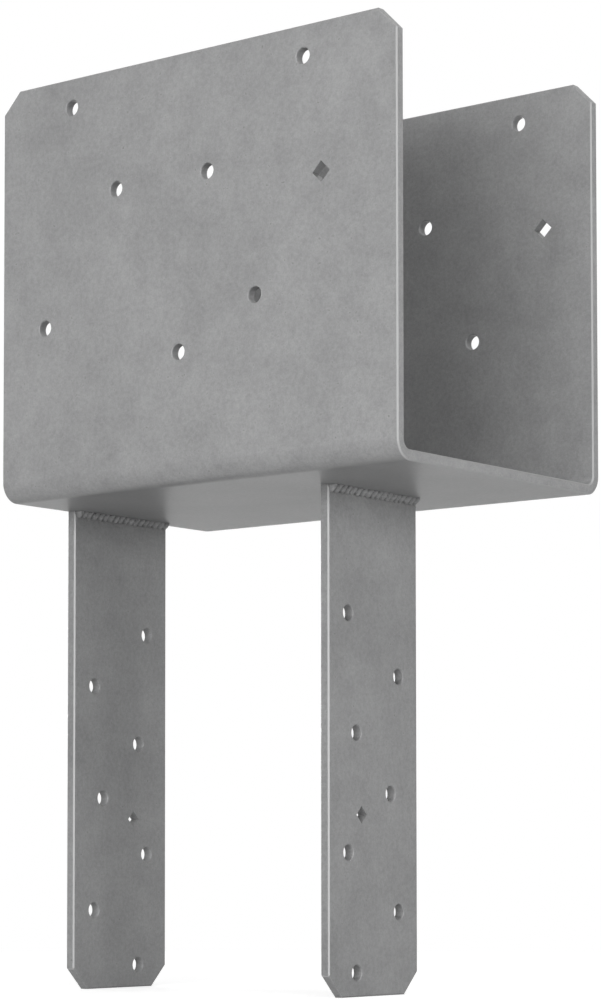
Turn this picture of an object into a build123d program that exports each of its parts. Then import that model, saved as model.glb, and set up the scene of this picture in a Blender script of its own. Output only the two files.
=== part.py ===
from build123d import *

import os
from math import cos, radians, sin

# A welded end column cap: a folded channel seats the end of a beam, and two
# straps welded under it hold the sides of a post.
# Millimetres. The origin is on the underside of the base, on the post's axis.
# +X runs along the beam to the channel's overhanging end, +Y across the beam, +Z up.

# Timber that the cap holds
beam_width = 139.7
post_depth = 139.7

# Sheet and folding
plate = 4.55
bend_inside = 4.0
edge_bevel = 0.6

# Channel
seat_length = 215.9
side_height = 177.8
side_corner = 9.4

# Straps
strap_width = 63.5
strap_length = 215.9
strap_corner = 9.5

# Round screw holes, and the small diamonds punched beside them
hole_radius = 3.37
rim_bevel = 0.35
side_diamond = 6.35
strap_diamond = 5.2

# Places in a side plate: along from the channel's closed end, and up from its floor
side_holes = [
    (40.9, 165.1),
    (168.4, 165.1),
    (66.7, 125.4),
    (117.5, 125.4),
    (25.4, 69.9),
    (143.1, 69.9),
    (101.8, 50.8),
]
side_diamond_place = (177.8, 115.9)

# The far side's pattern stands further along, so that screws from both sides miss each other
far_hole_shift = 9.5
far_low_hole_shift = 7.9
far_diamond_shift = 12.7

# Places in a strap, seen from outside: sideways from its centre line, and down from its top
wide_column = 18.0
narrow_column = 12.2
strap_columns = [-wide_column, wide_column, -narrow_column, narrow_column,
                 -wide_column, wide_column, -narrow_column]
first_strap_hole = 53.4
strap_hole_pitch = 25.4
strap_diamond_place = (-8.8, 138.9)

# Fillet weld along the top of each strap
weld_leg = 3.7
ripple_pitch = 3.3
ripple_height = 0.8
ripple_lean = 0.65  # share of a ripple's pitch before its crest
weld_end = 1.4  # length over which each end rounds off
weld_sides = 6  # flats round the quarter turn of its section

# Places that follow from the sizes above
half_beam = beam_width / 2
inner_face = post_depth / 2
outer_face = inner_face + plate
seat_start = -outer_face
channel_top = plate + side_height

os.makedirs("parts", exist_ok=True)


def surface_edges(cut_faces):
    # The cut edges that run along the sheet's two surfaces, not the short ones across it
    return [edge for face in cut_faces for edge in face.edges() if abs(edge.length - plate) > 0.01]


def hole_rims(body):
    circles = body.edges().filter_by(GeomType.CIRCLE)
    return circles.filter_by(lambda rim: abs(rim.radius - hole_radius) < 0.01)


def punch_side(hole_shift, low_hole_shift, diamond_shift):
    # One side plate's openings, on the sketch plane of its inner face; the last hole is the low one
    shifts = [hole_shift] * (len(side_holes) - 1) + [low_hole_shift]
    for (along, up), shift in zip(side_holes, shifts):
        with Locations((seat_start + along + shift, plate + up)):
            Circle(hole_radius)
    along, up = side_diamond_place
    with Locations((seat_start + along + diamond_shift, plate + up)):
        Rectangle(side_diamond, side_diamond, rotation=45)


# Folded channel: one sheet bent up into a base and two side plates
with BuildPart() as cap_channel:
    with BuildSketch(Plane.YZ.offset(seat_start)):
        with BuildLine():
            FilletPolyline(
                (-half_beam, channel_top),
                (-half_beam, plate),
                (half_beam, plate),
                (half_beam, channel_top),
                radius=bend_inside,
            )
            offset(amount=plate, side=Side.RIGHT)
        make_face()
    extrude(amount=seat_length)
    top_corners = cap_channel.edges().filter_by(Axis.Y).group_by(Axis.Z)[-1]
    chamfer(top_corners, side_corner)

    ends = cap_channel.faces().filter_by(Axis.X)
    corner_cuts = cap_channel.faces().filter_by(
        lambda face: face.normal_at().Z > 0.5 and face.center().Z > channel_top - side_corner
    )
    chamfer(surface_edges(ends + corner_cuts), edge_bevel)

    with BuildSketch(Plane.XZ.offset(half_beam)):
        punch_side(0, 0, 0)
    extrude(amount=plate, mode=Mode.SUBTRACT)
    with BuildSketch(Plane.XZ.offset(-half_beam)):
        punch_side(far_hole_shift, far_low_hole_shift, far_diamond_shift)
    extrude(amount=-plate, mode=Mode.SUBTRACT)
    chamfer(hole_rims(cap_channel), rim_bevel)

cap_channel.part.label = "cap_channel"
export_step(cap_channel.part, "parts/cap_channel.step")


def build_strap(face_plane):
    # A flat strap drawn on its outer face, with the sheet behind that plane and its top at z = 0
    with BuildPart() as strap:
        with BuildSketch(face_plane):
            with Locations((0, -strap_length / 2)):
                blank = Rectangle(strap_width, strap_length)
            chamfer(blank.vertices().group_by(Axis.Y)[0], strap_corner)
        extrude(amount=-plate)
        cut_faces = strap.faces().filter_by(lambda face: abs(face.normal_at().X) < 0.5)
        chamfer(surface_edges(cut_faces), edge_bevel)

        with BuildSketch(face_plane):
            for row, column in enumerate(strap_columns):
                with Locations((column, -first_strap_hole - row * strap_hole_pitch)):
                    Circle(hole_radius)
            sideways, down = strap_diamond_place
            with Locations((sideways, -down)):
                Rectangle(strap_diamond, strap_diamond, rotation=45)
        extrude(amount=-plate, mode=Mode.SUBTRACT)
        chamfer(hole_rims(strap), rim_bevel)
    return strap.part


# The two straps are one shape turned round, each with its outer face away from the post
end_plane = Plane(origin=(-outer_face, 0, 0), x_dir=(0, -1, 0), z_dir=(-1, 0, 0))
inner_plane = Plane(origin=(outer_face, 0, 0), x_dir=(0, 1, 0), z_dir=(1, 0, 0))
for name, face_plane in (("end_strap", end_plane), ("inner_strap", inner_plane)):
    strap_part = build_strap(face_plane)
    strap_part.label = name
    export_step(strap_part, f"parts/{name}.step")


def bead_outline():
    # Places along the weld and its reach there: a rounded end, leaning ripples, a rounded end
    valley = weld_leg - ripple_height
    run = strap_width - 2 * weld_end
    ripple_count = round(run / ripple_pitch)
    step = run / ripple_count
    ripples = []
    for ripple in range(ripple_count):
        start = -run / 2 + ripple * step
        ripples.append((start, valley))
        ripples.append((start + ripple_lean * step, weld_leg))
    ripples.append((run / 2, valley))
    near_end = [(-strap_width / 2, valley * 0.5), (-strap_width / 2 + weld_end * 0.4, valley * 0.85)]
    far_end = [(-place, reach) for place, reach in reversed(near_end)]
    return near_end + ripples + far_end


def build_bead(root_x):
    # A rippled weld in the corner where a strap's +X face meets the base: sections across it,
    # each a quarter round in flats about the corner line, joined by straight lines
    with BuildPart() as bead:
        for place, reach in bead_outline():
            turns = [radians(90 * side / weld_sides) for side in range(weld_sides + 1)]
            corners = [(0, 0)] + [(reach * cos(turn), reach * sin(turn)) for turn in turns]
            with BuildSketch(Plane(origin=(root_x, place, 0), x_dir=(1, 0, 0), z_dir=(0, 1, 0))):
                Polygon(*corners, align=None)
        loft(ruled=True)
    return bead.part


for name, root_x in (("end_strap_weld", -inner_face), ("inner_strap_weld", outer_face)):
    bead_part = build_bead(root_x)
    bead_part.label = name
    export_step(bead_part, f"parts/{name}.step")
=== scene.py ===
import math

import bpy
import numpy as np
from mathutils import Matrix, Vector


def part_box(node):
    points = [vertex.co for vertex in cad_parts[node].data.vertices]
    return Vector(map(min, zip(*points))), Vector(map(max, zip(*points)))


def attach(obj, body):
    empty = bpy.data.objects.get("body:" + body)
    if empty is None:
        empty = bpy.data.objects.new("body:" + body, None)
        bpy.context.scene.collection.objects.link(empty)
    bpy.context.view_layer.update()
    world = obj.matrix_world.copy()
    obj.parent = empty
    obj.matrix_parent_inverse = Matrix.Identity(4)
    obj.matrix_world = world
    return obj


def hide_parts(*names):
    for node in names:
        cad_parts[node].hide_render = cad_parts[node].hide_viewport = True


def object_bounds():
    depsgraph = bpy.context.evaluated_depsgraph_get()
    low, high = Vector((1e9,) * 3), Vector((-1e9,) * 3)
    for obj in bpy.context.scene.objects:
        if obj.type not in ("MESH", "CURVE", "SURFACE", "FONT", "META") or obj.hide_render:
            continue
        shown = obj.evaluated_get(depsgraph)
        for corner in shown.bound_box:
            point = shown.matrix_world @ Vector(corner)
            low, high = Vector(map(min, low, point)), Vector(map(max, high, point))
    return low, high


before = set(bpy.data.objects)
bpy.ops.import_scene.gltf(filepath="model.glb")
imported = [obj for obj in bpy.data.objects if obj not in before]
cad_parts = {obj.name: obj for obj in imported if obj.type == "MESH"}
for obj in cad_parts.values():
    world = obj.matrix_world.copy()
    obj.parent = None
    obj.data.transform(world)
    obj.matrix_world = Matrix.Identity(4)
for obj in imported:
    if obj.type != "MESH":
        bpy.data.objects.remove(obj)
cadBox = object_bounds()
print("frame loaded:", ", ".join(sorted(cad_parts)))


# A socket that takes Python arithmetic: each operator adds one Math node to its tree
class Wire:
    def __init__(self, graph, socket):
        self.graph = graph
        self.socket = socket

    def math(self, operation, *values, clamp=False):
        settings = {"operation": operation, "use_clamp": clamp}
        return self.graph.add("ShaderNodeMath", settings, dict(enumerate(values)))

    def __add__(self, other):
        return self.math("ADD", self, other)

    def __radd__(self, other):
        return self.math("ADD", other, self)

    def __sub__(self, other):
        return self.math("SUBTRACT", self, other)

    def __rsub__(self, other):
        return self.math("SUBTRACT", other, self)

    def __mul__(self, other):
        return self.math("MULTIPLY", self, other)

    def __rmul__(self, other):
        return self.math("MULTIPLY", other, self)

    def absolute(self):
        return self.math("ABSOLUTE", self)

    def clamped(self):
        return self.math("ADD", self, 0.0, clamp=True)

    def larger(self, other):
        return self.math("MAXIMUM", self, other)

    def within(self, low, high):
        return self.math("GREATER_THAN", self, low) * self.math("LESS_THAN", self, high)


# A node tree that is filled by one method: a node's type, its settings, then its sockets.
# `out` is the number of the output that is used.
class Graph:
    def __init__(self, tree):
        self.tree = tree
        tree.nodes.clear()

    def add(self, kind, settings=None, sockets=None, out=0):
        node = self.tree.nodes.new(kind)
        for name, value in (settings or {}).items():
            setattr(node, name, value)
        for key, value in (sockets or {}).items():
            if isinstance(value, Wire):
                self.tree.links.new(value.socket, node.inputs[key])
            else:
                node.inputs[key].default_value = value
        return Wire(self, node.outputs[out]) if node.outputs else node

    def objectPlace(self):
        return self.add("ShaderNodeTexCoord", out=3)

    def noise(self, place, scale, detail, roughness=0.5):
        # Blender's fractal noise, about 0.5 with a spread of some 0.15 each way
        return self.add("ShaderNodeTexNoise", {"noise_dimensions": "3D"}, {
            "Vector": place, "Scale": scale, "Detail": detail, "Roughness": roughness})

    def mixColour(self, factor, *colours):
        # 6 and 7 are the two colour inputs of a Mix node, and 2 is its colour output
        first, second = [colour if isinstance(colour, Wire) else opaque(colour)
                         for colour in colours]
        return self.add("ShaderNodeMix", {"data_type": "RGBA"},
                        {0: factor, 6: first, 7: second}, out=2)

    def mixShader(self, factor, first, second):
        return self.add("ShaderNodeMixShader", {}, {0: factor, 1: first, 2: second})

    def bump(self, height, strength, distance, under=None):
        sockets = {"Height": height, "Strength": strength, "Distance": distance}
        if under:
            sockets["Normal"] = under
        return self.add("ShaderNodeBump", {}, sockets)


def opaque(colour):
    return (*colour, 1.0)


def newGraph(name):
    material = bpy.data.materials.new(name)
    material.use_nodes = True
    return material, Graph(material.node_tree)


# Hot-dip galvanised sheet: a dull grey skin with soft clouds from the dip and a fine grain
sheetLook = {
    "dark": (0.235, 0.236, 0.238),
    "light": (0.35, 0.351, 0.352),
    "pitted": (0.19, 0.19, 0.191),
    "paintedHighlight": (0.37, 0.371, 0.373),  # painted highlight on the bevels along cut edges, standing in for the light they catch
    "bevel": 0.0006,
    "cutFace": 0.00002,       # and how near to the cut its own flat face keeps the plain tone
    "cloudScale": 20.0,       # clouds some 5 cm across
    "patchScale": 90.0,       # smaller patches inside them
    "speckScale": 500.0,      # specks some 2 mm across, the darkest of them dull pits
    "grainScale": 1400.0,
    "patchShare": 0.9,        # how much each counts in the tone, where the clouds count 1
    "speckShare": 0.9,
    "grainShare": 0.8,
    "toneDrop": 1.3,          # taken off their sum, so that it lies about a half
    "pitLevel": 0.68,
    "pitContrast": 8.0,
    "roughness": 0.38,
    "roughnessSpread": 0.14,
    "metallic": 0.15,
    "mirrorLevel": 0.2,
    "grainStrength": 0.06,
    "grainDepth": 0.0002,
    "waveScale": 55.0,        # the sheet's slight waviness
    "waveStrength": 0.05,
    "waveDepth": 0.001,
}


def galvanised(name, look, cutAcross=None):
    # On a piece cut across an axis, whose number, middle and half length are given, the bevels
    # by both cuts get a painted highlight. A look with a hollow colour takes it on as painted
    # shade where the piece's "hollow" attribute nears one.
    material, graph = newGraph(name)
    place = graph.objectPlace()
    clouds = graph.noise(place, look["cloudScale"], detail=3.0, roughness=0.55)
    patches = graph.noise(place, look["patchScale"], detail=4.0, roughness=0.6)
    specks = graph.noise(place, look["speckScale"], detail=2.0)
    grain = graph.noise(place, look["grainScale"], detail=2.0)
    waves = graph.noise(place, look["waveScale"], detail=1.0)
    tone = (clouds + patches * look["patchShare"] + specks * look["speckShare"]
            + grain * look["grainShare"] - look["toneDrop"]).clamped()
    colour = graph.mixColour(tone, look["dark"], look["light"])
    pits = ((specks - look["pitLevel"]) * look["pitContrast"]).clamped()
    colour = graph.mixColour(pits, colour, look["pitted"])
    if cutAcross:
        axis, middle, half = cutAcross
        along = graph.add("ShaderNodeSeparateXYZ", {}, {"Vector": place}, out=axis)
        fromMiddle = (along - middle).absolute()
        # painted highlight: the bands of bevel along both cuts are mixed towards a brighter colour
        paintedHighlight = fromMiddle.within(half - look["bevel"], half - look["cutFace"])
        colour = graph.mixColour(paintedHighlight, colour, look["paintedHighlight"])
    # Painted shade: the weld's gaps between ripples are darkened towards the hollow colour
    if "hollow" in look:
        hollow = graph.add("ShaderNodeAttribute", {"attribute_name": "hollow"}, out=2)
        colour = graph.mixColour((hollow * look["hollowShade"]).clamped(), colour, look["hollow"])
    roughness = (patches - 0.5) * look["roughnessSpread"] + look["roughness"]
    relief = graph.bump(waves, look["waveStrength"], look["waveDepth"])
    relief = graph.bump(grain, look["grainStrength"], look["grainDepth"], under=relief)
    shader = graph.add("ShaderNodeBsdfPrincipled", {}, {
        "Base Color": colour, "Roughness": roughness,
        "Metallic": look["metallic"], "Specular IOR Level": look["mirrorLevel"], "Normal": relief})
    graph.add("ShaderNodeOutputMaterial", {}, {"Surface": shader})
    return material


def cutSpan(node, axis):
    # An axis number, and the middle and half length of a node along it
    low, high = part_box(node)
    return axis, (low[axis] + high[axis]) / 2, (high[axis] - low[axis]) / 2


# The straps' sheet is a little darker than the channel's, and its bevels get a brighter painted
# highlight
strapLook = {
    **sheetLook,
    "dark": (0.222, 0.223, 0.225),
    "light": (0.332, 0.333, 0.334),
    "paintedHighlight": (0.43, 0.431, 0.433),
}

channelSteel = galvanised("channelSteel", sheetLook, cutSpan("cap_channel", axis=0))
strapSteel = galvanised("strapSteel", strapLook, cutSpan("end_strap", axis=1))

for node, material in (("cap_channel", channelSteel), ("end_strap", strapSteel),
                       ("inner_strap", strapSteel)):
    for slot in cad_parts[node].material_slots:
        slot.material = material
print("steel ready")


# The two weld beads under the base. Metres, in the frame of the solids.
weldBead = {
    "halfLength": 0.03175,
    "leg": 0.0037,            # how far it reaches along the strap and along the base
    "ripples": 18,
    "rippleHeight": 0.0011,
    "crest": 0.72,            # where a ripple's crest is, as a share of its length
    "roundness": 0.8,         # the power of its rise, rounder the lower it is
    "shallowest": 0.55,       # the least share of its height that a ripple has
    "wander": 0.22,           # how far a ripple strays from its place, in ripples
    "crescent": 0.3,          # how far a ripple's middle runs ahead of its ends, in ripples
    "unevenness": 0.0004,
    "lumps": [(2600, 3.0, 0.3), (4100, -5.0, 2.1), (1700, 7.0, 4.0), (5300, 2.0, 5.2)],
    "lumpHeight": 0.00007,
    "lobe": 0.0017,           # length of the rounded run-out at each end
    "rows": 760,
    "crowding": 0.5,          # how much the rows crowd towards the ends, from 0 to 1
    "columns": 28,
}

weldLook = {
    **sheetLook,
    "dark": (0.22, 0.221, 0.222),
    "light": (0.36, 0.361, 0.363),
    # painted shade for the gaps between ripples
    "hollow": (0.03, 0.03, 0.032),
    "hollowShade": 0.6,       # how far the gaps between ripples take on that painted shade
    "patchScale": 420.0,
    "roughness": 0.42,
    "roughnessSpread": 0.25,
    "grainStrength": 0.12,
}

weldSteel = galvanised("weldSteel", weldLook)


def gridFaces(rings, around):
    # Quads between neighbouring closed rings, each ring a run of `around` points. Each quad
    # goes from a point to the next one round, and back on the next ring.
    ring, spot = np.meshgrid(np.arange(rings - 1), np.arange(around), indexing="ij")
    beside = (spot + 1) % around
    return np.stack([ring * around + spot, ring * around + beside,
                     (ring + 1) * around + beside, (ring + 1) * around + spot], -1).reshape(-1, 4)


def meshPiece(name, points, faces, material):
    mesh = bpy.data.meshes.new(name)
    mesh.from_pydata(points.tolist(), [], faces)
    mesh.validate()
    mesh.polygons.foreach_set("use_smooth", np.ones(len(mesh.polygons), bool))
    mesh.materials.append(material)
    piece = bpy.data.objects.new(name, mesh)
    bpy.context.scene.collection.objects.link(piece)
    return piece


def buildBead(name, rootX, seed, look):
    # A closed skin on a grid: u runs along the bead and v turns from the strap to the base.
    # The distance from the corner line is the leg, less a sawtooth of overlapping ripples
    # whose phase runs ahead in the middle of the quarter turn. The sawtooth rises as a power
    # of a sine to the crest and falls as half a cosine wave. The distance closes at both ends
    # as the square root of one minus the square, which is a ball's outline. Each lump is a
    # sine of so many radians a metre along and so many round the turn, with its own start.
    rng = np.random.default_rng(seed)
    half, leg, lobe, ripples = look["halfLength"], look["leg"], look["lobe"], look["ripples"]
    crest, crowding = look["crest"], look["crowding"]
    along = -half * np.cos(np.linspace(0, np.pi, look["rows"])) * crowding
    along = along + np.linspace(-half, half, look["rows"]) * (1 - crowding)
    turn = np.linspace(0, np.pi / 2, look["columns"])
    u, v = np.meshgrid(along, turn, indexing="ij")
    place = (u + half) / (2 * half / ripples)
    wander = np.interp(place, np.arange(ripples + 3),
                       rng.uniform(-look["wander"], look["wander"], ripples + 3))
    phase = place + look["crescent"] * np.sin(2 * v) + wander
    part = phase - np.floor(phase)
    saw = np.where(part < crest, np.sin(part / crest * np.pi / 2) ** look["roundness"],
                   0.5 + 0.5 * np.cos((part - crest) / (1 - crest) * np.pi))
    knots = np.arange(-2, ripples + 6)  # one for each ripple, and spare ones past both ends
    swell = np.interp(phase, knots, rng.uniform(0, 1, len(knots)))
    deep = np.interp(phase, knots, rng.uniform(look["shallowest"], 1.0, len(knots)))
    hollow = (1 - saw) * deep
    radius = leg - look["rippleHeight"] * hollow - look["unevenness"] * swell
    for alongRate, turnRate, start in look["lumps"]:
        lump = 1 + np.sin(alongRate * u + turnRate * v + start + seed)
        radius = radius - look["lumpHeight"] * lump
    atEnd = np.clip((np.abs(u) - (half - lobe)) / lobe, 0, 1)
    radius = radius * np.sqrt(np.clip(1 - atEnd ** 2, 0, 1))
    across = rootX + radius * np.cos(v)
    down = -radius * np.sin(v)

    # Each ring is one section, closed through the corner line, and a fan closes each end
    corner = np.stack([np.full(len(along), rootX), along, np.zeros(len(along))], -1)
    skin = np.concatenate([np.stack([across, u, down], -1), corner[:, None]], 1)[1:-1]
    rings, around = skin.shape[:2]
    points = np.concatenate([skin.reshape(-1, 3), [[rootX, -half, 0], [rootX, half, 0]]])
    spot = np.arange(around)
    beside, lastRing = (spot + 1) % around, (rings - 1) * around
    pole = np.full(around, rings * around)
    fans = np.concatenate([np.stack([pole, beside, spot], -1),
                           np.stack([pole + 1, lastRing + spot, lastRing + beside], -1)])
    faces = gridFaces(rings, around).tolist() + fans.tolist()
    piece = meshPiece(name, points, faces, weldSteel)

    # The corner line and both poles count as hollow, so they take the full painted shade
    shade = np.concatenate([hollow, np.ones((len(along), 1))], 1)[1:-1].ravel()
    attribute = piece.data.attributes.new("hollow", "FLOAT", "POINT")
    attribute.data.foreach_set("value", np.append(shade, [1.0, 1.0]))
    return piece


for name, node, seed in (("endStrapBead", "end_strap_weld", 3),
                         ("innerStrapBead", "inner_strap_weld", 8)):
    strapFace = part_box(node)[0].x
    bead = buildBead(name, strapFace, seed, weldBead)
    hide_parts(node)
    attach(bead, "root")
print("weld beads laid")


# Floor, as wide as the view needs, under the strap ends
stageLook = {
    "reach": 400.0,
    "floorDrop": 0.0001,
    "floorColour": (0.88, 0.88, 0.88),
    "floorLift": 0.62,        # added only where the camera sees the floor, so that it is white
    "mirroredLift": 0.15,     # and only where the steel mirrors it
    "shadowReach": 0.3,       # beyond this distance from the part the floor turns plain white
    "shadowFade": 2.5,        # and how fast, per metre
    "fillLevel": 0.14,
}


def rays(graph):
    # One for a ray from the camera, and one for a ray from a mirror-like face
    return graph.add("ShaderNodeLightPath", out=0), graph.add("ShaderNodeLightPath", out=3)


def layFloor(level, look):
    # A square, each corner `reach` away along both axes
    material, graph = newGraph("paleFloor")
    fromCamera, fromMirror = rays(graph)
    place = graph.objectPlace()
    distance = graph.add("ShaderNodeVectorMath", {"operation": "LENGTH"}, {0: place}, out=1)
    far = ((distance - look["shadowReach"]) * look["shadowFade"]).clamped()
    matt = graph.add("ShaderNodeBsdfDiffuse", {}, {"Color": opaque(look["floorColour"])})
    shown = matt
    for seen, lift in ((fromMirror, look["mirroredLift"]), (fromCamera, look["floorLift"])):
        glow = graph.add("ShaderNodeEmission", {}, {"Strength": lift})
        lifted = graph.add("ShaderNodeAddShader", {}, {0: matt, 1: glow})
        shown = graph.mixShader(seen, shown, lifted)
    white = graph.add("ShaderNodeEmission", {}, {"Strength": 1.0})
    shown = graph.mixShader(fromCamera * far, shown, white)
    graph.add("ShaderNodeOutputMaterial", {}, {"Surface": shown})
    reach = look["reach"]
    corners = np.array([[-reach, -reach, level], [reach, -reach, level],
                        [reach, reach, level], [-reach, reach, level]])
    return meshPiece("paleFloor", corners, [[0, 1, 2, 3]], material)


floor = layFloor(cadBox[0].z - stageLook["floorDrop"], stageLook)


def paintWorld(look):
    # A faint even fill for the steel, and white for the camera and the mirror-like rays
    world = bpy.data.worlds.new("softWorld")
    world.use_nodes = True
    bpy.context.scene.world = world
    graph = Graph(world.node_tree)
    fromCamera, fromMirror = rays(graph)
    fill = graph.add("ShaderNodeBackground", {}, {
        "Color": (1, 1, 1, 1), "Strength": look["fillLevel"]})
    white = graph.add("ShaderNodeBackground", {}, {"Color": (1, 1, 1, 1), "Strength": 1.0})
    mixed = graph.mixShader(fromCamera.larger(fromMirror), fill, white)
    graph.add("ShaderNodeOutputWorld", {}, {"Surface": mixed})


paintWorld(stageLook)

# Soft lamps: name, place, aimed at, width, height, watts, and whether the steel mirrors it.
# The two that stand in line with the channel would glare along its inner faces.
lamps = [
    ("frontSoftbox", (0.75, -2.06, 0.17), (0.0, 0.0, 0.0), 1.2, 0.74, 31.0, True),
    ("edgeSoftbox", (1.713, -1.346, 0.1), (0.0, 0.0, 0.0), 0.3, 0.6, 3.0, True),
    ("rightSoftbox", (2.179, 0.0, 0.2), (0.0, 0.0, 0.0), 1.0, 0.8, 12.0, False),
    ("leftSoftbox", (-2.179, 0.0, 0.306), (0.0, 0.0, 0.0), 1.2, 1.0, 8.0, False),
    ("highSoftbox", (1.347, -0.778, 1.556), (0.0, 0.0, 0.0), 1.2, 1.2, 8.0, True),
    ("backSoftbox", (-1.4, 1.669, 0.45), (0.0, 0.0, 0.1), 1.2, 1.0, 24.0, True),
]


def aimed(start, target):
    # A place and turn that look from start to target, with the X axis level
    direction = np.array(target) - np.array(start)
    forward = direction / np.linalg.norm(direction)
    sideways = np.cross(forward, (0.0, 0.0, 1.0))
    right = sideways / np.linalg.norm(sideways)
    up = np.cross(right, forward)
    turned = Matrix(np.stack([right, up, -forward], -1).tolist()).to_4x4()
    turned.translation = start
    return turned


for name, place, target, width, height, watts, mirrored in lamps:
    lamp = bpy.data.lights.new(name, "AREA")
    lamp.shape = "RECTANGLE"
    lamp.size, lamp.size_y, lamp.energy = width, height, watts
    holder = bpy.data.objects.new(name, lamp)
    holder.matrix_world = aimed(place, target)
    holder.visible_glossy = mirrored
    bpy.context.scene.collection.objects.link(holder)
print("floor and light ready")


# The camera stands low at the front right and looks slightly up
cameraLook = {
    "place": (0.79993, -0.98218, -0.162755),
    "heading": 2.24867,       # radians round from +X
    "pitch": 0.05308,
    "focalPixels": 2856.086,  # focal length in pixels of the frame
    "frameHeight": 999,
    "sensor": 36.0,
    "shiftRight": 0.04562,
    "shiftUp": 0.22,
    "clip": (0.05, 1000.0),
}

cameraData = bpy.data.cameras.new("camera")
cameraData.sensor_width = cameraLook["sensor"]
cameraData.lens = cameraLook["focalPixels"] * cameraLook["sensor"] / cameraLook["frameHeight"]
cameraData.shift_x = cameraLook["shiftRight"]
cameraData.shift_y = cameraLook["shiftUp"]
cameraData.clip_start, cameraData.clip_end = cameraLook["clip"]
camera = bpy.data.objects.new("camera", cameraData)
camera.location = cameraLook["place"]
camera.rotation_euler = (math.pi / 2 + cameraLook["pitch"], 0, cameraLook["heading"] - math.pi / 2)
bpy.context.scene.collection.objects.link(camera)
bpy.context.scene.camera = camera
bpy.context.scene.view_settings.view_transform = "Standard"
print("camera set")
